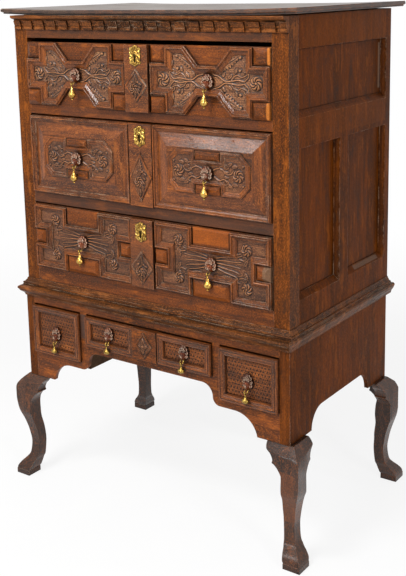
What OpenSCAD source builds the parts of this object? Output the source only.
// Chest on stand: a framed oak chest of three long drawers with mitred
// geometric mouldings, on a stand with three small drawers, a shaped apron
// and four square cabriole legs.
// Sizes are in millimetres. X runs along the front, Y from front to back and
// Z upwards. The origin is on the floor under the middle of the object.

/* [Chest] */
// Width of the chest over its sides
case_w = 940; // [900:5:1000]
// Depth of the chest from its front face to its back face
case_d = 582; // [560:2:600]
// Distance of the chest's front behind the stand's front
case_setback = 8; // [6:1:10]
// Width and depth of a front post
post = 48; // [44:1:52]
// Thickness of a side frame
side_t = 26; // [24:1:30]
// Thickness of the back boards
back_t = 12; // [10:1:14]
// Number of back boards
back_boards = 5; // [3:1:7]
// Height of the rail under the bottom drawer
bottom_rail_h = 67; // [60:1:75]
// Height of the opening of the bottom drawer
bottom_open_h = 202; // [190:1:215]
// Height of the rail over the bottom drawer
lower_rail_h = 31; // [26:1:36]
// Height of the opening of the middle drawer
middle_open_h = 238; // [226:1:250]
// Height of the rail over the middle drawer
upper_rail_h = 27; // [24:1:34]
// Height of the opening of the top drawer
top_open_h = 196; // [190:1:208]
// Height of the rail over the top drawer
top_rail_h = 65; // [62:1:72]
// Thickness of the top rail
top_rail_t = 26; // [20:1:34]

/* [Drawer runners] */
// Thickness of a runner and of the back rail between two runners
runner_t = 20; // [16:1:22]
// Width of a long drawer's runner
runner_w = 40; // [34:1:46]
// Width of the rail behind the drawers
back_rail_w = 40; // [30:1:60]
// Height of the guide strip beside a drawer
guide_h = 18; // [12:1:24]
// Length of a guide that is pinned to the back stile
guide_lap = 12; // [5:1:20]
// Width of the runners in the stand
stand_runner_w = 22; // [18:1:26]
// Reach of a side runner under a stand drawer
runner_grip = 10; // [8:1:12]

/* [Side frames] */
// Width of the back stile's flat face
stile_w = 30; // [26:1:40]
// Width of the muntin's flat face
muntin_face = 49; // [40:1:60]
// Distance of the muntin behind the middle of the side
muntin_back = 4; // [-10:1:14]
// Height of the side's top rail
side_top_rail = 83; // [70:1:95]
// Height of the side's middle rail
side_middle_rail = 78; // [70:1:90]
// Height of the lower panels' openings
side_lower_open = 385; // [360:5:400]
// Height of the side's bottom rail
side_bottom_rail = 90; // [80:1:100]
// Depth of the panels behind the frame's face
panel_recess = 15; // [10:1:16]
// Height of the sloped edge under a panel
slope_h = 16; // [10:1:20]
// Width of the moulded edge beside a panel
edge_w = 10; // [6:1:14]
// Thickness of a side panel
panel_t = 7; // [5:1:8]
// Depth of the groove that holds a panel
groove = 8; // [5:1:10]
// Thickness of the frame's lip over a panel's edge
lip = 2; // [1:0.5:3]

/* [Top board and cornice] */
// Thickness of the top board
top_t = 15; // [12:1:20]
// Overhang of the top board at each side
top_side = 35; // [25:1:40]
// Overhang of the top board at the front and back
top_front = 20; // [14:1:21]
// Rise of the warped board at its two ends
top_rise = 5; // [0:1:7]
// Width in the middle of the board that lies flat
top_flat = 420; // [200:20:600]
// Step back of the board's lower edge
top_step = 6; // [4:1:10]
// Height of the ogee cornice
cornice_h = 15; // [12:1:18]
// Projection of the ogee cornice
cornice_out = 25; // [18:1:26]
// Projection of the cornice's foot
cornice_foot = 9; // [6:1:12]
// Distance of the cornice's left end from the chest's left side
cornice_short = 8; // [0:1:10]
// Height of the dentil course
dentil_h = 26; // [22:1:30]
// Projection of a dentil
dentil_out = 12; // [8:1:14]
// Width of a dentil
dentil_w = 31; // [26:1:33]
// Width of the short block between two dentils
link_w = 11; // [7:1:11]
// Distance from one dentil to the next
dentil_pitch = 46; // [46:1:50]

/* [Base and waist mouldings] */
// Height of the chest's base moulding
base_h = 22; // [18:1:26]
// Projection of the base moulding
base_out = 13; // [9:1:13]
// Thickness of the waist frame between stand and chest
waist_t = 30; // [26:1:34]
// Drop of the waist moulding over the stand's face
waist_drop = 3; // [2:1:6]
// Projection of the waist moulding at each side
waist_side = 14; // [10:1:22]
// Projection of the waist moulding at the front
waist_front = 25; // [18:1:32]
// Overhang of the waist moulding's side runs behind the chest
waist_tail = 16; // [8:1:20]
// Width of the waist frame inside the stand's faces
waist_in = 60; // [50:1:80]

/* [Stand] */
// Margin of the stand outside the chest's sides
stand_margin = 4; // [2:1:8]
// Depth of the chest over that of the stand
stand_short = 7; // [0:1:16]
// Height of the stand's box between its legs and the waist frame
stand_h = 264; // [256:1:280]
// Width of a stand post's front face
stand_post_w = 32; // [28:1:38]
// Depth of a stand post
stand_post_d = 45; // [40:1:55]
// Thickness of the stand's side boards
stand_board_t = 13; // [10:1:18]
// Thickness of the apron and its muntins
apron_t = 13; // [11:1:18]
// Thickness of the frieze rail
frieze_t = 25; // [20:1:28]
// Height of the frieze rail
frieze_h = 24; // [20:1:28]
// Width of a muntin between two stand drawers
stand_muntin = 25; // [22:1:30]
// Width of a side drawer's opening
small_open_w = 188; // [180:1:195]
// Height of a side drawer's opening
small_open_h = 156; // [150:1:160]
// Height of the centre drawer's opening
centre_open_h = 97; // [92:1:100]
// Thickness of the partitions
partition_t = 19; // [16:1:22]
// Thickness of the stand's back board
stand_back_t = 18; // [14:1:22]
// Height of the back board's lower edge above the stand's foot
back_lift = 60; // [40:5:70]

/* [Arches] */
// Height of the front arch's crown
arch_h = 119; // [112:1:122]
// Distance of the crown's flat inside the muntins' outer edges
arch_in = 62; // [54:1:74]
// Radius of the crown's round shoulder
arch_crown_r = 36; // [30:1:40]
// Height of the flat beside the hollow
arch_step_h = 60; // [56:1:64]
// Length of the flat beside the hollow
arch_step = 49; // [36:1:52]
// Radius of the arch's outer quarter round
arch_foot_r = 73; // [66:1:76]
// Height of the arch in a side board
side_arch_h = 59; // [50:1:66]
// Half width of the side arch's flat
side_arch_flat = 113; // [90:1:120]

/* [Cabriole legs] */
// Height of a leg
leg_h = 336; // [300:4:380]
// Distance of a leg's corner line outside the stand's side
leg_side = 1; // [0:1:4]
// Distance of a leg's corner line behind the stand's front
leg_back = 10; // [6:1:14]
// Projection of the knee outside the corner line
knee_out = 40; // [34:1:44]
// Projection of a back leg's knee behind the corner line
back_knee = 26; // [22:1:40]
// Projection of the foot outside the corner line
foot_out = 48; // [42:1:50]
// Height of the foot's pad
pad_h = 15; // [12:1:20]
// Width of the foot's pad
pad_w = 52; // [48:1:56]
// Width of the leg at its ankle
ankle_w = 32; // [28:1:36]
// Reach of the bracket at the top of the leg inside the corner line
ear = 67; // [60:1:74]
// Depth of the bracket inside the corner line
ear_t = 8; // [6:1:12]
// Extra width of the two right legs under the knee
right_fuller = 7; // [0:1:10]
// Extra reach of the front right leg's bracket
right_ear = 5; // [0:1:7]
// Set-back of the knee's faces at the bracket's end
knee_slope = 0.143; // [0.08:0.001:0.18]

/* [Long drawers] */
// Clearance between a drawer front and the side of its opening
side_gap = 2.5; // [1:0.5:4]
// Clearance over the middle and bottom drawer fronts
top_gap = 5; // [3:0.5:8]
// Clearance over the worn top drawer front
top_drawer_gap = 12; // [3:0.5:13]
// Height of a drawer above its runners
slide_gap = 0.3; // [0.2:0.1:0.5]
// Thickness of a long drawer front
front_t = 22; // [18:1:26]
// Distance between the back of a long drawer and the back boards
box_back_gap = 48; // [36:2:110]
// Thickness of the drawer sides and backs
box_t = 12; // [10:1:16]
// Thickness of the drawer bottoms
floor_t = 8; // [6:1:10]
// Height of a drawer bottom above the drawer side's lower edge
floor_lift = 4; // [3:1:8]
// Height of the drawer front above the drawer side
box_low = 10; // [6:1:20]

/* [Drawer mouldings] */
// Margin of the mouldings above and below, on a drawer front
ring_margin = 1.5; // [1:0.5:3]
// Half width of the raised block in the middle of a long drawer
block_half = 39.5; // [36:0.5:42]
// Gap between the block and the moulding beside it
block_gap = 1.5; // [1:0.5:3]
// Projection of the block on the top and bottom drawers
block_out = 17; // [14:1:18]
// Projection of the block on the middle drawer
middle_block_out = 9; // [7:1:12]
// Projection of the mitred mouldings
ring_out = 14; // [11:1:15]
// Distance from the end of a length of moulding to its mitre
mitre_gap = 0.05; // [0.03:0.01:0.2]
// Width of the moulding on the top drawer
top_ring_w = 22; // [18:1:24]
// Length of the arms of the top drawer's figure
arm = 51; // [44:1:56]
// Half height of the arms of the top drawer's figure
arm_half = 44; // [38:1:48]
// Half width of the top drawer's notch at its mouth
notch_mouth = 74; // [66:1:78]
// Half width of the top drawer's notch at its floor
notch_floor = 30; // [24:1:36]
// Distance from the middle of the top drawer's figure to the floors of its notches
notch_mid = 40.4; // [40:0.1:46]
// Width of the outer moulding on the middle drawer
middle_ring_w = 16; // [13:1:19]
// Width of the sloped bevel on the middle drawer
bevel_w = 36; // [30:1:40]
// Projection of the raised field on the middle drawer
field_out = 11; // [8:1:14]
// Width of the inner moulding on the middle drawer
inner_ring_w = 14; // [12:1:16]
// Margin of the inner moulding inside the raised field
inner_margin = 5; // [3:1:8]
// Projection of the inner moulding above the raised field
inner_out = 6; // [4:1:8]
// Cut of the inner moulding's corners
inner_cut = 28; // [22:1:32]
// Half width of the inner moulding's notch
inner_notch = 41; // [34:1:46]
// Distance from the middle of the inner figure to the floors of its notches
inner_mid = 32.9; // [32:0.1:38]
// Width of the moulding on the bottom drawer
bottom_ring_w = 19; // [16:1:20]
// Half width of the bottom drawer's upper and lower notches
tab_half = 63; // [56:1:68]
// Distance from the middle of the bottom drawer's figure to the floors of its notches
tab_mid = 46.9; // [46.5:0.1:52]
// Half height of the bottom drawer's side notches
side_tab_half = 22; // [18:1:24]
// Depth of the bottom drawer's side notches
side_tab_depth = 45; // [38:1:48]
// Width of the moulding on the stand's drawers
small_ring_w = 20; // [16:1:24]
// Projection of the moulding on the stand's drawers
small_ring_out = 9; // [7:1:11]
// Half width of the block in the middle of the centre drawer
small_block_half = 43.5; // [38:0.5:46]
// Projection of the block of the centre drawer
small_block_out = 14; // [11:1:16]
// Thickness of a carved lozenge
lozenge_t = 4; // [3:1:5]
// Height of the top drawer's lozenge
top_lozenge_h = 91; // [80:1:96]
// Height of the middle drawer's lozenge
middle_lozenge_h = 140; // [120:1:145]
// Height of the bottom drawer's lozenge
bottom_lozenge_h = 101; // [90:1:106]
// Height of the top drawer's lozenge above the front's lower edge
top_lozenge_lift = 27; // [20:1:30]
// Height of the middle drawer's lozenge above the front's lower edge
middle_lozenge_lift = 13; // [8:1:20]
// Height of the bottom drawer's lozenge above the front's lower edge
bottom_lozenge_lift = 7; // [4:1:14]
// Width of the centre stand drawer's lozenge
small_lozenge_w = 60; // [50:1:70]
// Height of the centre stand drawer's lozenge
small_lozenge_h = 80; // [70:1:84]

/* [Stand drawers] */
// Thickness of a stand drawer's front
small_front_t = 20; // [16:1:22]
// Distance between the back of a stand drawer and the stand's back board
small_box_gap = 67; // [47:1:137]
// Clearance beside a stand drawer
small_gap = 1.5; // [1:0.5:2.5]

/* [Locks] */
// Width of an escutcheon
plate_w = 38; // [34:1:42]
// Height of an escutcheon
plate_h = 57; // [50:1:60]
// Thickness of an escutcheon
plate_t = 1.6; // [1:0.2:2.4]
// Distance of the keyhole below the top edge of the drawer front
key_drop = 35; // [33:1:40]
// Distance of the keyhole below the top drawer's top edge
top_key_drop = 30; // [30:1:36]
// Radius of the keyhole's round part
key_r = 3.2; // [2.6:0.2:3.6]
// Width of the lock case
lock_w = 64; // [54:1:70]
// Height of the lock case
lock_h = 44; // [36:1:50]
// Thickness of the lock case
lock_t = 11; // [9:1:14]

/* [Pulls] */
// Half width of a long drawer's mask
mask_w = 18; // [15:1:20]
// Half height of a long drawer's mask
mask_h = 23; // [20:1:25]
// Height of a mask above the middle of a long drawer's front
mask_lift = 5; // [0:1:7]
// Half width of a stand drawer's mask
small_mask_w = 17; // [14:1:19]
// Half height of a stand drawer's mask
small_mask_h = 23; // [20:1:25]
// Radius of the wire of a staple
wire_r = 1.2; // [1:0.1:1.4]
// Clearance between a staple and the eye on it
eye_gap = 0.35; // [0.3:0.05:0.5]
// Half length of a staple's crossbar
bar_half = 3.8; // [3.6:0.1:5]
// Projection of a staple on a long drawer
drop_out = 24; // [23:0.5:27]
// Projection of a staple from the middle drawer's raised field
field_drop_out = 21; // [20:0.5:24]
// Projection of a staple on a stand drawer
small_drop_out = 20; // [19:0.5:22]
// Distance of the staple below the middle of a long drawer's mask
hinge_drop = 29; // [27:1:32]
// Distance of the staple below the middle of a side drawer's mask
side_hinge_drop = 34; // [30:1:36]
// Distance of the staple below the middle of a centre drawer's mask
centre_hinge_drop = 24; // [24:1:26]
// Radius of a pear-shaped drop
pear_r = 8.75; // [7:0.25:9]
// Length of a pear-shaped drop below its eye
pear_l = 38; // [32:1:42]
// Radius of a stand drawer's bead
bead_r = 7.5; // [6:0.25:8]
// Length of the neck over a stand drawer's bead
neck_l = 9; // [7:1:12]

/* [View] */
// Sub-part to draw, or all

/* [Hidden] */
$fn = 48;

// Levels
stand_z = leg_h;
waist_z = stand_z + stand_h;
case_z = waist_z + waist_t;
open_z = [
    case_z + bottom_rail_h,
    case_z + bottom_rail_h + bottom_open_h + lower_rail_h,
    case_z + bottom_rail_h + bottom_open_h + lower_rail_h + middle_open_h + upper_rail_h
];
open_h = [bottom_open_h, middle_open_h, top_open_h];
long_gap = [top_gap, top_gap, top_drawer_gap];
top_z = open_z[2] + top_open_h + top_rail_h;
case_h = top_z - case_z;

// Plan
stand_d = case_d - stand_short;
case_x = case_w / 2;
case_front = -stand_d / 2 + case_setback;
case_back_y = case_front + case_d;
open_x = case_x - post;
frame_x = case_x - side_t;
post_back = case_front + post;
back_y = case_back_y - back_t;
stand_x = case_x + stand_margin;
stand_front = -stand_d / 2;
stand_open_x = stand_x - stand_post_w;
stand_post_back = stand_front + stand_post_d;
side_runner_w = runner_grip + stand_post_w - stand_board_t;
apron_back = stand_front + apron_t;
stand_back_y = stand_d / 2 - stand_back_t;
leg_x = stand_x + leg_side;
leg_y = stand_d / 2 - leg_back;
box_d = back_y - case_front - front_t - box_back_gap;
small_box_d = stand_back_y - stand_front - small_front_t - small_box_gap;

// Side panels
panel_x = case_x - panel_recess;
lower_panel_z = case_z + side_bottom_rail + slope_h;
middle_rail_z = case_z + side_bottom_rail + side_lower_open + slope_h;
upper_panel_z = middle_rail_z + side_middle_rail + slope_h;
upper_panel_top = top_z - side_top_rail;
muntin_y = (case_front + case_back_y) / 2 + muntin_back;
stile_front = case_back_y - stile_w - edge_w;

// Long drawer fronts and the figures on them
front_x = open_x - side_gap;
front_z = [for (k = [0:2]) open_z[k] + slide_gap];
front_h = [for (k = [0:2]) open_h[k] - long_gap[k] - slide_gap];
ring_a = (front_x - 1 - block_half - block_gap) / 2;
ring_x = block_half + block_gap + ring_a;
ring_b = [for (k = [0:2]) front_h[k] / 2 - ring_margin];
ring_z = [for (k = [0:2]) front_z[k] + front_h[k] / 2];
key_z = [
    front_z[0] + front_h[0] - key_drop,
    front_z[1] + front_h[1] - key_drop,
    front_z[2] + front_h[2] - top_key_drop
];
inner_a = ring_a - middle_ring_w - bevel_w - inner_margin;
inner_b = ring_b[1] - middle_ring_w - bevel_w - inner_margin + 1;
blocks_out = [block_out, middle_block_out, block_out];
lozenge_h = [bottom_lozenge_h, middle_lozenge_h, top_lozenge_h];
lozenge_lift = [bottom_lozenge_lift, middle_lozenge_lift, top_lozenge_lift];
mask_ground = [0, field_out, 0];
drops_out = [drop_out, field_drop_out, drop_out];

// Stand drawers
centre_x = stand_open_x - small_open_w - stand_muntin;
small_x = stand_open_x - small_open_w / 2;
arch_flat = centre_x + stand_muntin - arch_in;
drawer_top_z = waist_z - frieze_h;
small_z = drawer_top_z - small_open_h;
centre_z = drawer_top_z - centre_open_h;
partition_x = centre_x + (stand_muntin - partition_t) / 2;
small_front_h = small_open_h - top_gap - slide_gap;
centre_front_h = centre_open_h - top_gap - slide_gap;
centre_ring_a = (centre_x - small_gap - small_block_half - block_gap) / 2;
centre_ring_x = small_block_half + block_gap + centre_ring_a;

oak = [0.42, 0.24, 0.13];
dark_oak = [0.33, 0.19, 0.11];
side_oak = [0.30, 0.15, 0.09];
leg_oak = [0.26, 0.20, 0.16];
deal = [0.55, 0.42, 0.28];
brass = [0.80, 0.62, 0.25];

// Outline of a shape with two axes of symmetry, from the points of its first
// quarter, anticlockwise from the X axis to the Y axis
function four_quarters(q) = concat(
    q,
    [for (i = [len(q) - 1:-1:0]) [-q[i].x, q[i].y]],
    [for (p = q) [-p.x, -p.y]],
    [for (i = [len(q) - 1:-1:0]) [q[i].x, -q[i].y]]
);

// Ogee from a to b, flat at both ends
function ogee(a, b, steps) = [
    for (i = [0:steps])
        let (t = i / steps)
        [a.x + (b.x - a.x) * (1 - cos(180 * t)) / 2, a.y + (b.y - a.y) * t]
];

// Smooth curve through the points of a list
function smooth_point(a, b, c, d, t) =
    (2 * b + (c - a) * t + (2 * a - 5 * b + 4 * c - d) * t * t
        + (3 * b - a - 3 * c + d) * t * t * t) / 2;
function smooth(p, steps) = concat(
    [
        for (i = [0:len(p) - 2], j = [0:steps - 1])
            smooth_point(
                p[max(i - 1, 0)], p[i], p[i + 1], p[min(i + 2, len(p) - 1)],
                j / steps
            )
    ],
    [p[len(p) - 1]]
);

// Point that lies w to the left of a path's corner
function unit(v) = v / norm(v);
function left(v) = [-v.y, v.x];
function inset_corner(before, corner, after, w) =
    let (a = left(unit(corner - before)), b = left(unit(after - corner)))
    corner + w * (a + b) / (1 + a * b);

// Section of a raised moulding, w wide and h proud, from its outer edge inwards.
// It runs on past both edges, which are cut by the moulding's outline
function raised_section(w, h) = concat(
    [[-1, 0], [-1, 0.55 * h], [0, 0.55 * h], [0.09 * w, 0.6 * h]],
    [for (a = [150:-30:30]) [0.27 * w + 0.16 * w * cos(a), 0.66 * h + 0.34 * h * sin(a)]],
    [[0.45 * w, 0.62 * h]],
    ogee([0.50 * w, 0.60 * h], [0.88 * w, 0.32 * h], 4),
    [[0.9 * w, 0.22 * h], [w, 0.18 * h], [w + 1, 0.18 * h], [w + 1, 0]]
);

// A length of moulding with mitred ends, between the corners a and b of a path.
// It stops short of both mitres by half a joint's width
module mitred_length(a, b, a_in, b_in, section, w, h) {
    along = unit(b - a);
    short = mitre_gap * along;
    intersection() {
        translate([a.x - 2 * w * along.x, a.y - 2 * w * along.y, 0])
            rotate([0, 0, atan2(along.x, -along.y)])
            rotate([90, 0, 0])
            linear_extrude(norm(b - a) + 4 * w)
            polygon(section);
        translate([0, 0, -1])
            linear_extrude(h + 2)
            polygon([a + short, b - short, b_in - short, a_in + short]);
    }
}

// Moulding round a closed path, w wide and h proud
module mitred_ring(path, section, w, h) {
    n = len(path);
    corners = [
        for (i = [0:n - 1])
            inset_corner(path[(i + n - 1) % n], path[i], path[(i + 1) % n], w)
    ];
    for (i = [0:n - 1])
        mitred_length(
            path[i], path[(i + 1) % n], corners[i], corners[(i + 1) % n], section, w, h
        );
}

// Places a shape drawn flat on a front: its Y goes up and its Z comes forward
module on_front(x, y, z) {
    translate([x, y, z])
        rotate([90, 0, 0])
        children();
}

module pair() {
    children();
    mirror([1, 0, 0])
        children();
}

// Chest

// Height of the warped board's underside at x
function bow(x) =
    let (half = case_x + top_side, flat = top_flat / 2)
    top_rise * pow(max(0, (abs(x) - flat) / (half - flat)), 2);

// One layer of the top board, set back by step at the front and at both ends
module board_layer(low, high, step) {
    half = case_x + top_side - step;
    stations = [for (i = [-8:8]) half * i / 8];
    translate([0, case_back_y + top_front, top_z])
        rotate([90, 0, 0])
        linear_extrude(case_d + 2 * top_front - step)
        polygon(concat(
            [for (x = stations) [x, low + bow(x)]],
            [for (i = [len(stations) - 1:-1:0]) [stations[i], high + bow(stations[i])]]
        ));
}

module top_board() {
    color(oak) {
        board_layer(0, top_t * 0.35, top_step);
        board_layer(top_t * 0.3, top_t * 0.42, top_step * 0.4);
        board_layer(top_t * 0.4, top_t * 0.85, 0);
        board_layer(top_t * 0.8, top_t, top_step * 0.35);
    }
}

module cornice() {
    foot = top_z - cornice_h;
    fillet = 0.4 * cornice_h;
    color(dark_oak)
        translate([cornice_short - case_x, case_front, 0])
        rotate([90, 0, 90])
        linear_extrude(case_w - cornice_short)
        polygon(concat(
            [[0, top_z], [0, foot], [-cornice_foot, foot]],
            ogee(
                [-cornice_foot, foot + 1],
                [2 - cornice_out, top_z - fillet - 1], 8
            ),
            [[-cornice_out, top_z - fillet], [-cornice_out, top_z]]
        ));
}

// Section of a dentil, hollowed towards its foot
module dentil_section(out, h) {
    polygon([
        [0, 0], [-out * 0.45, 0], [-out * 0.66, h * 0.12], [-out * 0.75, h * 0.3],
        [-out * 0.58, h * 0.36], [-out * 0.66, h * 0.45], [-out * 0.85, h * 0.7],
        [-out, h * 0.95], [-out, h], [0, h]
    ]);
}

module dentil_course() {
    course_z = top_z - cornice_h - dentil_h;
    count = ceil(case_x / dentil_pitch);
    color(dark_oak)
        intersection() {
            translate([cornice_short - case_x, case_front - dentil_out - 1, course_z])
                cube([case_w - cornice_short, dentil_out + 1, dentil_h]);
            union() {
                translate([-case_x - 1, case_front - 2, course_z])
                    cube([case_w + 2, 2, dentil_h]);
                for (k = [-count:count]) {
                    translate([k * dentil_pitch - dentil_w * 0.26, case_front, course_z])
                        rotate([90, 0, 90])
                        linear_extrude(dentil_w)
                        dentil_section(dentil_out, dentil_h);
                    translate([
                        k * dentil_pitch + dentil_w * 0.74 + (dentil_pitch - dentil_w - link_w) / 2,
                        case_front, course_z + 0.42 * dentil_h
                    ])
                        rotate([90, 0, 90])
                        linear_extrude(link_w)
                        dentil_section(dentil_out * 0.72, dentil_h * 0.58);
                }
            }
        }
}

module front_post() {
    difference() {
        translate([open_x, case_front, case_z])
            cube([post, post, case_h]);
        side_panels();
    }
}

module front_post_right() {
    color(oak)
        front_post();
}

module front_post_left() {
    color(oak)
        mirror([1, 0, 0])
        front_post();
}

// Section of a side's rail with a sloped edge above it
module sloped_rail(low, high) {
    translate([0, case_back_y - stile_w, 0])
        rotate([90, 0, 0])
        linear_extrude(case_back_y - stile_w - post_back)
        polygon([
            [frame_x, low], [case_x, low], [case_x, high],
            [panel_x + lip, high + slope_h], [frame_x, high + slope_h]
        ]);
}

// Section of an upright's moulded edge, from its face at y down to the panel
function moulded_edge(y, direction) = concat(
    [[case_x, y], [case_x - 1.5, y + direction * 0.5]],
    [
        for (a = [90:-22.5:0])
            [
                panel_x + 4 + (panel_recess - 6) * sin(a),
                y + direction * (1.5 + (edge_w - 4) * cos(a))
            ]
    ],
    [[panel_x + lip, y + direction * (edge_w - 1.5)], [panel_x + lip, y + direction * edge_w]]
);

module side_frame_members() {
    muntin_front = muntin_y - muntin_face / 2;
    muntin_rear = muntin_y + muntin_face / 2;
    // Back stile
    translate([0, 0, case_z])
        linear_extrude(case_h)
        polygon(concat(
            [[frame_x, case_back_y], [case_x, case_back_y]],
            moulded_edge(case_back_y - stile_w, -1),
            [[frame_x, stile_front]]
        ));
    // Muntin
    translate([0, 0, lower_panel_z - slope_h])
        linear_extrude(middle_rail_z - lower_panel_z + slope_h)
        polygon(concat(
            moulded_edge(muntin_rear, 1),
            [[frame_x, muntin_rear + edge_w], [frame_x, muntin_front - edge_w]],
            [
                for (i = [len(moulded_edge(0, -1)) - 1:-1:0])
                    moulded_edge(muntin_front, -1)[i]
            ]
        ));
    // Bottom, middle and top rails
    sloped_rail(case_z, case_z + side_bottom_rail);
    sloped_rail(middle_rail_z, middle_rail_z + side_middle_rail);
    translate([frame_x, post_back, upper_panel_top])
        cube([side_t, case_back_y - stile_w - post_back, side_top_rail]);
    // Guides beside the three long drawers
    for (k = [0:2])
        translate([front_x + 1, post_back, open_z[k]])
            cube([frame_x - front_x - 1, stile_front + guide_lap - post_back, guide_h]);
}

// The three panels of a side, with the edges that lie in the grooves
module side_panels() {
    translate([panel_x - panel_t, post_back - groove, upper_panel_z - groove])
        cube([
            panel_t, stile_front - post_back + 2 * groove,
            upper_panel_top - upper_panel_z + 2 * groove
        ]);
    muntin_front = muntin_y - muntin_face / 2 - edge_w;
    muntin_rear = muntin_y + muntin_face / 2 + edge_w;
    for (span = [[post_back, muntin_front], [muntin_rear, stile_front]])
        translate([panel_x - panel_t, span[0] - groove, lower_panel_z - groove])
            cube([
                panel_t, span[1] - span[0] + 2 * groove,
                middle_rail_z - lower_panel_z + 2 * groove
            ]);
}

module side_frame() {
    difference() {
        side_frame_members();
        side_panels();
    }
}

module side_frame_right() {
    color(side_oak)
        side_frame();
}

module side_frame_left() {
    color(side_oak)
        mirror([1, 0, 0])
        side_frame();
}

module side_panels_right() {
    color(side_oak)
        side_panels();
}

module side_panels_left() {
    color(side_oak)
        mirror([1, 0, 0])
        side_panels();
}

module top_rail() {
    color(oak)
        translate([-open_x, case_front, top_z - top_rail_h])
        cube([2 * open_x, top_rail_t, top_rail_h]);
}

// Front rail, two runners and back rail under the drawer whose floor is at z
module drawer_frame(z, rail_h) {
    color(oak)
        translate([-open_x, case_front, z - rail_h])
        cube([2 * open_x, post, rail_h]);
    color(deal)
        pair()
        translate([frame_x - runner_w, post_back, z - runner_t])
        cube([runner_w, back_y - post_back, runner_t]);
    color(deal)
        translate([runner_w - frame_x, back_y - back_rail_w, z - runner_t])
        cube([2 * (frame_x - runner_w), back_rail_w, runner_t]);
}

module bottom_drawer_frame() {
    drawer_frame(open_z[0], bottom_rail_h);
}

module lower_drawer_frame() {
    drawer_frame(open_z[1], lower_rail_h);
}

module upper_drawer_frame() {
    drawer_frame(open_z[2], upper_rail_h);
}

module case_back() {
    board = 2 * frame_x / back_boards;
    joint_w = 2;
    color(deal)
        difference() {
            translate([-frame_x, back_y, case_z])
                cube([2 * frame_x, back_t, case_h]);
            for (i = [1:back_boards - 1])
                translate([i * board - frame_x - joint_w / 2, back_y + back_t / 2, case_z - 1])
                    cube([joint_w, back_t, case_h + 2]);
        }
}

// Moulding round the front and both sides of a box of half width x. The
// section runs outwards as fractions of its projection
module three_sides(x, front, back, section, side_out, front_out) {
    module run(length, out) {
        rotate([90, 0, 90])
            linear_extrude(length)
            polygon([for (p = section) [-p.x * out, p.y]]);
    }
    far = x + side_out;
    high = max([for (p = section) p.y]);
    low = min([for (p = section) p.y]);
    intersection() {
        translate([-far, front, 0])
            run(2 * far, front_out);
        translate([0, 0, low - 1])
            linear_extrude(high - low + 2)
            polygon([[-x, front], [-far, front - front_out], [far, front - front_out], [x, front]]);
    }
    pair()
        intersection() {
            translate([x, front - front_out, 0])
                rotate([0, 0, 90])
                run(back - front + front_out, side_out);
            translate([0, 0, low - 1])
                linear_extrude(high - low + 2)
                polygon([[x, front], [far, front - front_out], [far, back], [x, back]]);
        }
}

module base_moulding() {
    section = concat(
        [[0, 0], [1, 0], [1, 0.12 * base_h]],
        [for (a = [-60:30:90]) [0.72 + 0.28 * cos(a), (0.3 + 0.16 * sin(a)) * base_h]],
        [[0.6, 0.48 * base_h]],
        ogee([0.58, 0.5 * base_h], [0.22, 0.84 * base_h], 5),
        [[0.22, 0.9 * base_h], [0.12, base_h], [0, base_h]]
    );
    color(dark_oak)
        translate([0, 0, case_z])
        three_sides(case_x, case_front, case_back_y, section, base_out, base_out);
}

module waist_frame() {
    high = waist_t + waist_drop;
    section = concat(
        [[0, 0], [0.16, 0], [0.16, 0.1 * high]],
        ogee([0.2, 0.12 * high], [0.78, 0.6 * high], 7),
        [[0.86, 0.62 * high], [0.86, 0.68 * high]],
        [for (a = [-60:30:90]) [0.86 + 0.14 * cos(a), (0.82 + 0.13 * sin(a)) * high]],
        [[0.8, 0.97 * high], [0.7, high], [0, high]]
    );
    color(dark_oak) {
        translate([0, 0, waist_z - waist_drop])
            three_sides(
                stand_x, stand_front, case_back_y + waist_tail, section, waist_side, waist_front
            );
        difference() {
            translate([-stand_x, stand_front, waist_z])
                cube([2 * stand_x, case_back_y - stand_front, waist_t]);
            translate([waist_in - stand_x, stand_front + waist_in, waist_z - 1])
                cube([2 * (stand_x - waist_in), stand_d - 2 * waist_in, waist_t + 2]);
        }
    }
}

// Stand

module stand_side() {
    difference() {
        union() {
            for (y = [stand_front, stand_d / 2 - stand_post_d])
                translate([stand_open_x, y, stand_z])
                    cube([stand_post_w, stand_post_d, stand_h]);
            translate([stand_x - stand_board_t, stand_post_back, stand_z])
                cube([stand_board_t, stand_d - 2 * stand_post_d, stand_h]);
        }
        translate([stand_open_x, -side_arch_flat, stand_z - 1])
            cube([stand_post_w + 1, 2 * side_arch_flat, side_arch_h + 1]);
        for (y = [-side_arch_flat, side_arch_flat])
            translate([stand_open_x, y, stand_z])
                rotate([0, 90, 0])
                cylinder(h = stand_post_w + 1, r = side_arch_h);
    }
    // Runner of the side drawer
    translate([stand_open_x - runner_grip, stand_post_back, small_z - runner_t])
        cube([side_runner_w, stand_d - 2 * stand_post_d, runner_t]);
}

module stand_side_right() {
    color(side_oak)
        stand_side();
}

module stand_side_left() {
    color(side_oak)
        mirror([1, 0, 0])
        stand_side();
}

module frieze_rail() {
    color(oak)
        translate([-stand_open_x, stand_front, drawer_top_z])
        cube([2 * stand_open_x, frieze_t, frieze_h]);
}

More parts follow.
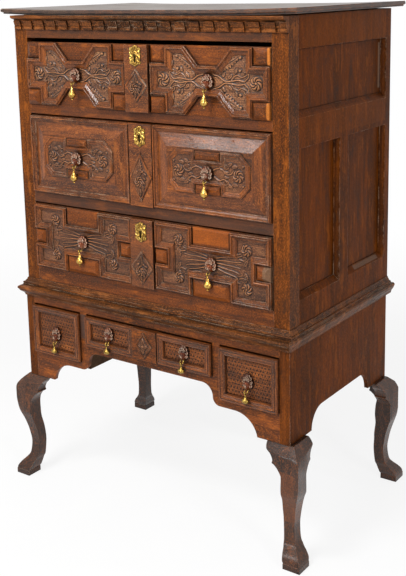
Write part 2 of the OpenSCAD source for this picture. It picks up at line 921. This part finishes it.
// Half of the front arch's opening, above the line of the stand's foot
module arch_half() {
    shoulder = arch_flat + arch_crown_r;
    hollow_r = arch_h - arch_crown_r - arch_step_h;
    hollow_x = shoulder + hollow_r;
    step_x = hollow_x + arch_step;
    difference() {
        union() {
            translate([0, -1])
                square([arch_flat, arch_h + 1]);
            translate([arch_flat, arch_h - arch_crown_r])
                circle(r = arch_crown_r);
            translate([0, -1])
                square([shoulder, arch_h - arch_crown_r + 1]);
            translate([shoulder - 1, -1])
                square([hollow_r + 1, arch_step_h + hollow_r + 1]);
            translate([hollow_x - 1, -1])
                square([arch_step + 1, arch_step_h + 1]);
            translate([step_x, arch_step_h - arch_foot_r])
                circle(r = arch_foot_r);
        }
        translate([hollow_x, arch_step_h + hollow_r])
            circle(r = hollow_r);
        translate([-1, -2 * arch_foot_r - 1])
            square([stand_x, 2 * arch_foot_r]);
    }
}

module front_apron() {
    color(oak)
        on_front(0, apron_back, stand_z)
        linear_extrude(apron_t)
        difference() {
            union() {
                translate([-stand_open_x, 0])
                    square([2 * stand_open_x, small_z - stand_z]);
                translate([-centre_x - stand_muntin, 0])
                    square([2 * (centre_x + stand_muntin), centre_z - stand_z]);
                for (x = [-centre_x - stand_muntin, centre_x])
                    translate([x, 0])
                        square([stand_muntin, drawer_top_z - stand_z]);
            }
            arch_half();
            mirror([1, 0])
                arch_half();
        }
}

module stand_back() {
    low = stand_z + back_lift;
    color(deal) {
        translate([-stand_open_x, stand_back_y, low])
            cube([2 * stand_open_x, stand_back_t, waist_z - low]);
        pair() {
            translate([partition_x, apron_back, low])
                cube([partition_t, stand_back_y - apron_back, drawer_top_z - low]);
            translate([partition_x + partition_t, apron_back, small_z - runner_t])
                cube([stand_runner_w, stand_back_y - apron_back, runner_t]);
            translate([partition_x - stand_runner_w, apron_back, centre_z - runner_t])
                cube([stand_runner_w, stand_back_y - apron_back, runner_t]);
        }
    }
}

// Legs. A leg's outline is drawn outwards from its corner line: the outer
// curve runs down, and the inner curve runs up, fuller under the knee
leg_mid = leg_h - 50;
block_in = 18;
outer_curve = [
    [8, leg_h], [20, leg_h - 11], [0.75 * knee_out, leg_h - 22], [knee_out - 2, leg_h - 35],
    [knee_out, leg_mid], [knee_out, leg_h - 80], [0.88 * knee_out, leg_h * 0.643],
    [0.65 * knee_out, leg_h * 0.557], [0.46 * knee_out, leg_h * 0.470],
    [0.35 * knee_out, leg_h * 0.393], [0.28 * knee_out, leg_h * 0.310],
    [0.38 * knee_out, leg_h * 0.200], [0.50 * foot_out, pad_h + 37],
    [0.76 * foot_out, pad_h + 23], [foot_out - 3, pad_h + 10], [foot_out - 1, pad_h + 1]
];
function inner_curve(fuller) = [
    [foot_out - pad_w + 1, pad_h + 1], [foot_out - pad_w - 3, pad_h + 8],
    [foot_out - pad_w - 10, pad_h + 34], [-ankle_w * 0.55, leg_h * 0.18],
    [0.28 * knee_out - ankle_w, leg_h * 0.310], [0.35 * knee_out - ankle_w - 2, leg_h * 0.393],
    [0.46 * knee_out - ankle_w - 4 - 0.3 * fuller, leg_h * 0.470],
    [0.65 * knee_out - 39 - 0.6 * fuller, leg_h * 0.557],
    [0.88 * knee_out - 47 - fuller, leg_h * 0.643],
    [knee_out - 52 - 0.8 * fuller, leg_h - 92],
    [3 - block_in, leg_h - 70], [-block_in, leg_h - 50]
];

// Outline without the bracket, its flat-backed form for a back leg's rear face,
// and the bracket's outline
module leg_outline(fuller) {
    polygon(concat(
        smooth(outer_curve, 3),
        [[foot_out, pad_h], [foot_out, 0], [foot_out - pad_w, 0], [foot_out - pad_w, pad_h]],
        smooth(inner_curve(fuller), 3),
        [[-block_in, leg_h]]
    ));
}

module rear_outline(fuller) {
    difference() {
        leg_outline(fuller);
        translate([back_knee, leg_h * 0.4])
            square([knee_out, leg_h]);
    }
}

module ear_outline(fuller, reach) {
    polygon([
        [2, leg_h], [2, leg_h - 96], [knee_out - 52 - 0.8 * fuller, leg_h - 92], [12 - reach * 0.42, leg_h - 80],
        [-reach * 0.33, leg_h - 71], [-reach * 0.43, leg_h - 62], [-reach * 0.56, leg_h - 54.5],
        [3 - reach * 0.69, leg_h - 52.5], [1.5 - reach * 0.69, leg_h - 50],
        [2.5 - reach * 0.69, leg_h - 47.5], [4 - reach * 0.69, leg_h - 45],
        [3 - reach * 0.69, leg_h - 39], [0.5 - reach * 0.69, leg_h - 33],
        [-4 - reach * 0.69, leg_h - 26], [9 - reach, leg_h - 19], [4 - reach, leg_h - 13],
        [1 - reach, leg_h - 7], [-reach, leg_h - 3], [-reach, leg_h]
    ]);
}

// The part of an outline that a bracket takes up
module ear_band() {
    intersection() {
        children();
        translate([-ear_t, 0])
            square([2 * knee_out, leg_h]);
    }
}

// A leg at the origin of its corner line, with X and Y outwards. Its faces
// fall back from the knee's corner to the ends of the brackets
module leg_solid(flat_back, fuller, reach) {
    across = foot_out + reach + 4;
    module along_x() {
        translate([0, foot_out + 2, 0])
            rotate([90, 0, 0])
            linear_extrude(across)
            children();
    }
    module along_y() {
        rotate([0, 0, 90])
            mirror([0, 1, 0])
            along_x()
            children();
    }
    module depth_outline() {
        if (flat_back)
            rear_outline(fuller);
        else
            leg_outline(fuller);
    }
    module wedge(corner) {
        translate([0, 0, leg_h * 0.5])
            linear_extrude(leg_h)
            polygon([
                [corner + 20, corner + 20 * knee_slope], [corner + 20, corner + 30],
                [-reach - 10, corner + 30],
                [-reach - 10, corner - knee_slope * (corner + reach + 10)]
            ]);
    }
    difference() {
        union() {
            intersection() {
                along_x()
                    leg_outline(fuller);
                along_y()
                    depth_outline();
            }
            intersection() {
                along_x()
                    ear_outline(fuller, reach);
                along_y()
                    ear_band()
                    depth_outline();
            }
            intersection() {
                along_x()
                    ear_band()
                    leg_outline(fuller);
                along_y()
                    ear_outline(fuller, reach);
            }
        }
        wedge(knee_out);
        mirror([1, -1, 0])
            wedge(knee_out);
    }
}

module leg_back_right() {
    color(leg_oak)
        translate([leg_x, leg_y, 0])
        leg_solid(true, right_fuller, ear);
}

module leg_back_left() {
    color(leg_oak)
        translate([-leg_x, leg_y, 0])
        mirror([1, 0, 0])
        leg_solid(true, 0, ear);
}

module leg_front_right() {
    color(leg_oak)
        translate([leg_x, -leg_y, 0])
        mirror([0, 1, 0])
        leg_solid(false, right_fuller, ear + right_ear);
}

module leg_front_left() {
    color(leg_oak)
        translate([-leg_x, -leg_y, 0])
        rotate([0, 0, 180])
        leg_solid(false, 0, ear);
}

// Drawers

module keyhole(depth) {
    translate([0, 0, -1])
        linear_extrude(depth + 2) {
            circle(r = key_r);
            translate([-key_r * 0.45, -key_r * 3.4])
                square([key_r * 0.9, key_r * 3.4]);
        }
}

// Front of long drawer k, counted from the bottom
module long_front(k) {
    color(oak)
        difference() {
            translate([-front_x, case_front, front_z[k]])
                cube([2 * front_x, front_t, front_h[k]]);
            on_front(0, case_front + front_t, key_z[k])
                keyhole(front_t);
        }
}

// Open-topped box of half width x with its floor, from y back to y + d
module drawer_box(x, y, z, d, h) {
    color(deal) {
        for (side = [-x, x - box_t])
            translate([side, y, z])
                cube([box_t, d, h]);
        translate([box_t - x, y + d - box_t, z + floor_lift])
            cube([2 * (x - box_t), box_t, h - floor_lift]);
        translate([box_t - x, y, z + floor_lift])
            cube([2 * (x - box_t), d - box_t, floor_t]);
    }
}

module long_box(k) {
    drawer_box(
        front_x - 0.5, case_front + front_t, front_z[k], box_d, front_h[k] - box_low
    );
}

module lozenge(w, h) {
    rim = 5;
    linear_extrude(lozenge_t / 2)
        polygon([[w / 2, 0], [0, h / 2], [-w / 2, 0], [0, -h / 2]]);
    mitred_ring(
        [[w / 2 - 1, 0], [0, h / 2 - 2], [1 - w / 2, 0], [0, 2 - h / 2]],
        [
            [-1, 0], [-1, 0.8 * lozenge_t], [0, 0.8 * lozenge_t], [1, lozenge_t],
            [rim - 1, 0.9 * lozenge_t], [rim - 0.4, 0]
        ],
        rim, lozenge_t
    );
}

// Block in the middle of a drawer, with its lozenge
module centre_block(half, low, high, out, lozenge_w, lozenge_h, lozenge_z) {
    translate([-half, low, 0])
        cube([2 * half, high - low, out]);
    translate([0, lozenge_z, out])
        lozenge(lozenge_w, lozenge_h);
}

module long_block(k) {
    difference() {
        centre_block(
            block_half, 0, front_h[k], blocks_out[k],
            2 * block_half - 2, lozenge_h[k], lozenge_lift[k] + lozenge_h[k] / 2
        );
        translate([0, key_z[k] - front_z[k], 0])
            keyhole(blocks_out[k]);
    }
}

function top_figure(a, b) = four_quarters([
    [a, arm_half], [a - arm, arm_half], [a - arm, b],
    [notch_mouth, b], [notch_floor, notch_mid]
]);

function bottom_figure(a, b) = four_quarters([
    [a - side_tab_depth, side_tab_half], [a, side_tab_half], [a, b],
    [tab_half, b], [tab_half, tab_mid]
]);

function inner_figure(a, b) = four_quarters([
    [a, b - inner_cut], [a - inner_cut, b],
    [inner_notch, b], [inner_notch, inner_mid]
]);

module both_panels() {
    for (x = [-ring_x, ring_x])
        translate([x, 0, 0])
            children();
}

module top_drawer_front() {
    long_front(2);
}

module top_drawer_mouldings() {
    color(oak)
        on_front(0, case_front, front_z[2]) {
            long_block(2);
            both_panels()
                translate([0, front_h[2] / 2, 0])
                mitred_ring(
                    top_figure(ring_a, ring_b[2]),
                    raised_section(top_ring_w, ring_out), top_ring_w, ring_out
                );
        }
}

module top_drawer_box() {
    long_box(2);
}

module middle_drawer_front() {
    long_front(1);
}

// Block with a slope on two opposite sides, reaching a and b from its middle
module two_slopes(a, b) {
    translate([0, b, 0])
        rotate([90, 0, 0])
        linear_extrude(2 * b)
        polygon([
            [-a, 0], [a, 0], [a, 1],
            [a - bevel_w, field_out], [bevel_w - a, field_out], [-a, 1]
        ]);
}

// Raised field of the middle drawer: a block with four sloped sides
module raised_field(a, b) {
    intersection() {
        two_slopes(a, b);
        rotate([0, 0, 90])
            two_slopes(b, a);
    }
}

module middle_drawer_mouldings() {
    color(oak)
        on_front(0, case_front, front_z[1]) {
            long_block(1);
            both_panels()
                translate([0, front_h[1] / 2, 0]) {
                    mitred_ring(
                        four_quarters([[ring_a, ring_b[1]]]),
                        raised_section(middle_ring_w, ring_out - 3), middle_ring_w, ring_out
                    );
                    raised_field(ring_a - middle_ring_w, ring_b[1] - middle_ring_w);
                    translate([0, 0, field_out])
                        mitred_ring(
                            inner_figure(inner_a, inner_b),
                            raised_section(inner_ring_w, inner_out), inner_ring_w, inner_out
                        );
                }
        }
}

module middle_drawer_box() {
    long_box(1);
}

module bottom_drawer_front() {
    long_front(0);
}

module bottom_drawer_mouldings() {
    color(oak)
        on_front(0, case_front, front_z[0]) {
            long_block(0);
            both_panels()
                translate([0, front_h[0] / 2, 0])
                mitred_ring(
                    bottom_figure(ring_a, ring_b[0]),
                    raised_section(bottom_ring_w, ring_out), bottom_ring_w, ring_out
                );
        }
}

module bottom_drawer_box() {
    long_box(0);
}

// Drawer of the stand: front with a framed panel, between x and the opposite
// side, on the floor at z
module small_front(x, w, z, h) {
    color(oak) {
        translate([x - w / 2, stand_front, z])
            cube([w, small_front_t, h]);
        on_front(x, stand_front, z + h / 2)
            mitred_ring(
                four_quarters([[w / 2, h / 2]]),
                raised_section(small_ring_w, small_ring_out), small_ring_w, small_ring_out
            );
    }
}

module left_drawer_front() {
    small_front(
        -small_x, small_open_w - 2 * small_gap, small_z + slide_gap, small_front_h
    );
}

module right_drawer_front() {
    small_front(
        small_x, small_open_w - 2 * small_gap, small_z + slide_gap, small_front_h
    );
}

module small_box(x) {
    translate([x, 0, 0])
        drawer_box(
            small_open_w / 2 - small_gap - 0.5, stand_front + small_front_t,
            small_z + slide_gap, small_box_d, small_front_h - box_low
        );
}

module left_drawer_box() {
    small_box(-small_x);
}

module right_drawer_box() {
    small_box(small_x);
}

module centre_drawer_front() {
    half = centre_x - small_gap;
    color(oak) {
        translate([-half, stand_front, centre_z + slide_gap])
            cube([2 * half, small_front_t, centre_front_h]);
        on_front(0, stand_front, centre_z + slide_gap) {
            centre_block(
                small_block_half, 0, centre_front_h, small_block_out,
                small_lozenge_w, small_lozenge_h, centre_front_h / 2
            );
            for (x = [-centre_ring_x, centre_ring_x])
                translate([x, centre_front_h / 2, 0])
                    mitred_ring(
                        four_quarters([[centre_ring_a, centre_front_h / 2]]),
                        raised_section(small_ring_w, small_ring_out),
                        small_ring_w, small_ring_out
                    );
        }
    }
}

module centre_drawer_box() {
    drawer_box(
        centre_x - small_gap - 0.5, stand_front + small_front_t,
        centre_z + slide_gap, small_box_d, centre_front_h - box_low
    );
}

// Locks

// Pierced escutcheon with a lobed outline
module escutcheon() {
    core_r = plate_w * 0.36;
    lobe_r = plate_w * 0.14;
    linear_extrude(plate_t)
        difference() {
            union() {
                circle(r = core_r);
                translate([-core_r * 0.8, -plate_h * 0.3])
                    square([core_r * 1.6, plate_h * 0.6]);
                for (x = [-1, 1], y = [-0.3, -0.1, 0.1, 0.3])
                    translate([x * (plate_w / 2 - lobe_r), y * plate_h])
                        circle(r = lobe_r);
                for (y = [-1, 1])
                    translate([0, y * (plate_h / 2 - plate_w * 0.2)])
                        circle(r = plate_w * 0.2);
            }
            for (x = [-1, 1], y = [-0.2, 0, 0.2])
                translate([x * plate_w * 0.3, y * plate_h])
                    circle(r = plate_w * 0.055);
            for (y = [-1, 1])
                translate([0, y * plate_h * 0.36])
                    circle(r = plate_w * 0.07);
        }
}

module lock(k) {
    color(brass)
        on_front(0, case_front - blocks_out[k], key_z[k])
        difference() {
            escutcheon();
            keyhole(plate_t);
        }
    color([0.3, 0.29, 0.28])
        on_front(0, case_front + front_t + lock_t, key_z[k])
        difference() {
            translate([-lock_w / 2, -lock_h / 2, 0])
                cube([lock_w, lock_h, lock_t]);
            translate([0, 0, lock_t / 2])
                keyhole(lock_t);
        }
}

module top_drawer_lock() {
    lock(2);
}

module middle_drawer_lock() {
    lock(1);
}

module bottom_drawer_lock() {
    lock(0);
}

// Pulls

// Mask of half width w and half height h, with curls round its face
module mask_solid(w, h) {
    intersection() {
        union() {
            translate([0, 0.16 * h, 0.25 * w])
                sphere(r = 0.86 * w);
            translate([0, -0.42 * h, 0.4 * w])
                sphere(r = 0.66 * w);
            for (x = [-1, 1]) {
                translate([x * 0.42 * w, -0.06 * h, 0.78 * w])
                    sphere(r = 0.32 * w);
                translate([x * 0.34 * w, 0.3 * h, 0.86 * w])
                    sphere(r = 0.26 * w);
            }
            translate([0, 0.02 * h, 1.12 * w])
                sphere(r = 0.2 * w);
            for (i = [0:11])
                translate([0.7 * w * cos(30 * i), (h - 0.3 * w) * sin(30 * i), 0.2 * w])
                    sphere(r = 0.3 * w);
        }
        translate([-2 * w, -2 * h, 0])
            cube([4 * w, 4 * h, 2 * w]);
    }
}

// Staple: a crossbar at the height z below the mask, and its two prongs
module staple(out, drop, w, h) {
    rise = drop - 0.55 * h;
    depth = out - 0.55 * w;
    translate([-bar_half, -drop, out])
        rotate([0, 90, 0])
        cylinder(h = 2 * bar_half, r = wire_r);
    for (x = [wire_r - bar_half, bar_half - wire_r])
        translate([x, -drop, out])
            rotate([atan2(-rise, -depth), 0, 0])
            cylinder(h = norm([rise, depth]), r = wire_r * 0.9);
}

module pull(x, y, z, w, h, out, drop) {
    color(dark_oak)
        on_front(x, y, z) {
            mask_solid(w, h);
            staple(out, drop, w, h);
        }
}

function mask_z(k) = ring_z[k] + mask_lift;

module long_masks(k) {
    for (x = [-ring_x, ring_x])
        pull(
            x, case_front - mask_ground[k], mask_z(k), mask_w, mask_h, drops_out[k], hinge_drop
        );
}

// Masks of drawer k that are cut to sit over the moulding above them, whose
// outer edge is at the height edge over the middle of the drawer
module seated_masks(k, edge, w, h) {
    color(dark_oak)
        difference() {
            long_masks(k);
            for (x = [-ring_x, ring_x])
                on_front(x - 2 * mask_w, case_front - mask_ground[k], ring_z[k] + edge)
                    rotate([90, 0, 90])
                    linear_extrude(4 * mask_w)
                    polygon([for (p = raised_section(w, h)) [-p.x, p.y]]);
        }
}

module top_drawer_masks() {
    seated_masks(2, notch_mid, top_ring_w, ring_out);
}

module middle_drawer_masks() {
    seated_masks(1, inner_mid, inner_ring_w, inner_out);
}

module bottom_drawer_masks() {
    long_masks(0);
}

small_mask_z = small_z + small_front_h / 2 + 1;
centre_mask_z = centre_z + centre_front_h / 2 + 1;

module left_drawer_mask() {
    pull(
        -small_x, stand_front, small_mask_z, small_mask_w, small_mask_h,
        small_drop_out, side_hinge_drop
    );
}

module right_drawer_mask() {
    pull(
        small_x, stand_front, small_mask_z, small_mask_w, small_mask_h,
        small_drop_out, side_hinge_drop
    );
}

module centre_drawer_masks() {
    for (x = [-centre_ring_x, centre_ring_x])
        pull(
            x, stand_front, centre_mask_z, small_mask_w, small_mask_h,
            small_drop_out, centre_hinge_drop
        );
}

// Eye that hangs on a staple's crossbar, which lies along X at the origin
eye_r = 2 * wire_r + eye_gap;

module eye() {
    rotate([0, 90, 0])
        rotate_extrude()
        translate([eye_r, 0])
        circle(r = wire_r, $fn = 20);
}

module pear_drop() {
    eye();
    translate([0, 0, -eye_r])
        rotate_extrude()
        polygon(concat(
            [[0, 0]],
            [
                for (i = [0:20])
                    let (t = i / 20)
                    [
                        max(1.5 - t, pear_r * pow(sin(180 * pow(t, 1.9)), 0.9)),
                        -pear_l * t
                    ]
            ],
            [[0, -pear_l]]
        ));
    translate([0, 0, -eye_r - pear_l - 1])
        sphere(r = 2.4);
}

module bead_drop() {
    eye();
    translate([0, 0, -eye_r - neck_l])
        cylinder(h = neck_l, r1 = 2.6, r2 = 1.5);
    translate([0, 0, -eye_r - neck_l - 2])
        cylinder(h = 3, r1 = 4.2, r2 = 3);
    translate([0, 0, -eye_r - neck_l - bead_r])
        sphere(r = bead_r);
    translate([0, 0, -eye_r - neck_l - 2 * bead_r - 0.5])
        sphere(r = 2);
}

module long_drop(side, k) {
    color(brass)
        translate([
            side * ring_x, case_front - mask_ground[k] - drops_out[k], mask_z(k) - hinge_drop
        ])
        pear_drop();
}

module top_drop_left() {
    long_drop(-1, 2);
}

module top_drop_right() {
    long_drop(1, 2);
}

module middle_drop_left() {
    long_drop(-1, 1);
}

module middle_drop_right() {
    long_drop(1, 1);
}

module bottom_drop_left() {
    long_drop(-1, 0);
}

module bottom_drop_right() {
    long_drop(1, 0);
}

module small_drop(x, z) {
    color(brass)
        translate([x, stand_front - small_drop_out, z])
        bead_drop();
}

module left_drop() {
    small_drop(-small_x, small_mask_z - side_hinge_drop);
}

module right_drop() {
    small_drop(small_x, small_mask_z - side_hinge_drop);
}

module centre_drop_left() {
    small_drop(-centre_ring_x, centre_mask_z - centre_hinge_drop);
}

module centre_drop_right() {
    small_drop(centre_ring_x, centre_mask_z - centre_hinge_drop);
}

top_board();
cornice();
dentil_course();
front_post_left();
front_post_right();
side_frame_left();
side_frame_right();
side_panels_left();
side_panels_right();
top_rail();
upper_drawer_frame();
lower_drawer_frame();
bottom_drawer_frame();
case_back();
base_moulding();
waist_frame();
stand_side_left();
stand_side_right();
frieze_rail();
front_apron();
stand_back();
leg_front_left();
leg_front_right();
leg_back_left();
leg_back_right();
top_drawer_front();
top_drawer_mouldings();
top_drawer_box();
top_drawer_masks();
top_drawer_lock();
top_drop_left();
top_drop_right();
middle_drawer_front();
middle_drawer_mouldings();
middle_drawer_box();
middle_drawer_masks();
middle_drawer_lock();
middle_drop_left();
middle_drop_right();
bottom_drawer_front();
bottom_drawer_mouldings();
bottom_drawer_box();
bottom_drawer_masks();
bottom_drawer_lock();
bottom_drop_left();
bottom_drop_right();
left_drawer_front();
left_drawer_box();
left_drawer_mask();
left_drop();
centre_drawer_front();
centre_drawer_box();
centre_drawer_masks();
centre_drop_left();
centre_drop_right();
right_drawer_front();
right_drawer_box();
right_drawer_mask();
right_drop();
